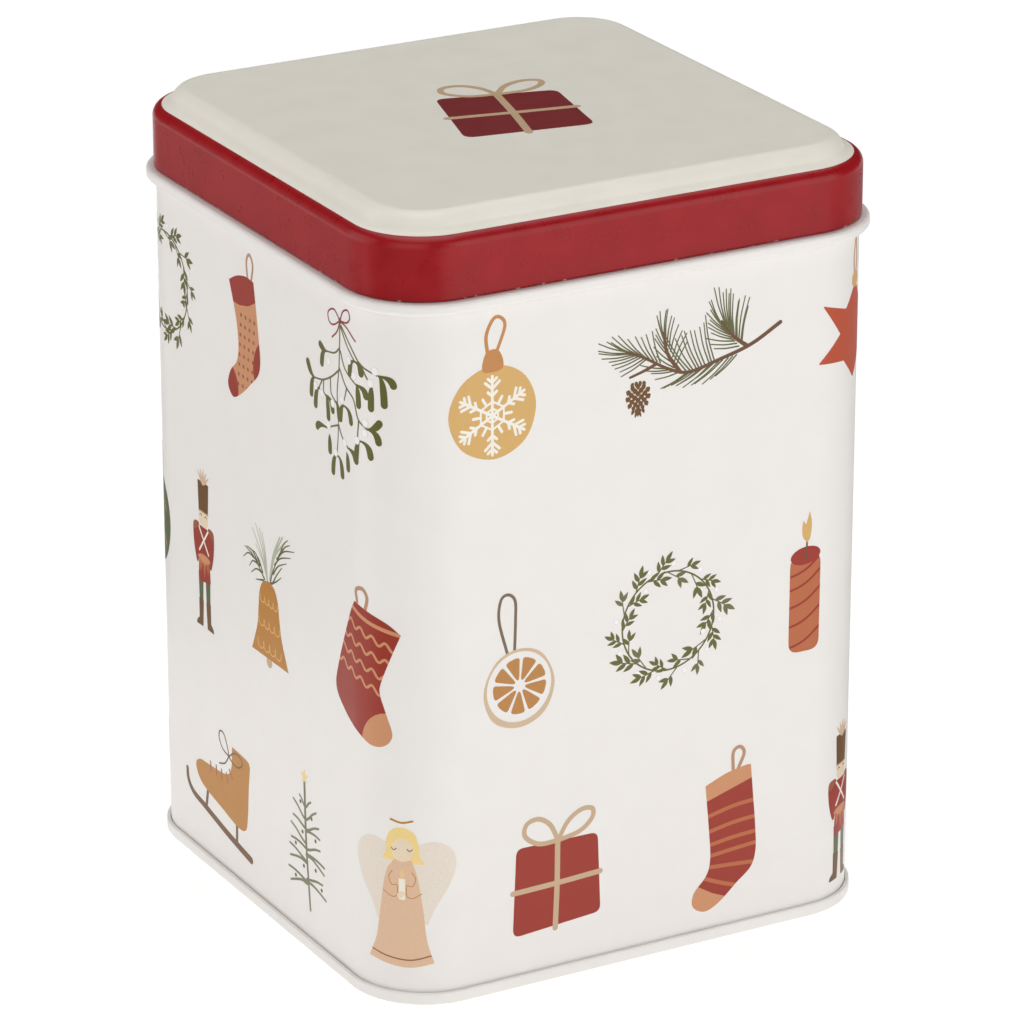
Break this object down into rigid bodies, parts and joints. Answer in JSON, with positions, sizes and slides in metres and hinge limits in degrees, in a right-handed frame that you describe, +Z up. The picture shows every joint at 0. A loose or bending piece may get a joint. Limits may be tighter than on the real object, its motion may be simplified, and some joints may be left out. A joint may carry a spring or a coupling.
{
  "type": "cookie tin",
  "caption": "Tall square storage tin with rounded corners, a lift-off stepped lid, a stop bead and a double-seamed bottom.",
  "frame": {"origin": "on the ground, under the middle of the tin", "axes": "+Z up through the lid; -Y is the front panel and -X the panel to its left; the lock seam is in the back panel, +Y"},
  "size_m": [0.114, 0.114, 0.1605],
  "materials": {
    "white_lacquer": "satin",
    "red_lacquer": "satin"
  },
  "bodies": {
    "tin": {"body_wall": "white_lacquer", "bottom_plate": "white_lacquer"},
    "lid": {"lid": "red_lacquer"}
  },
  "joints": [
    {"name": "lid_lift", "type": "slide", "parent": "tin", "child": "lid", "axis": [0, 0, 1], "range_m": [0, 0.06]}
  ]
}
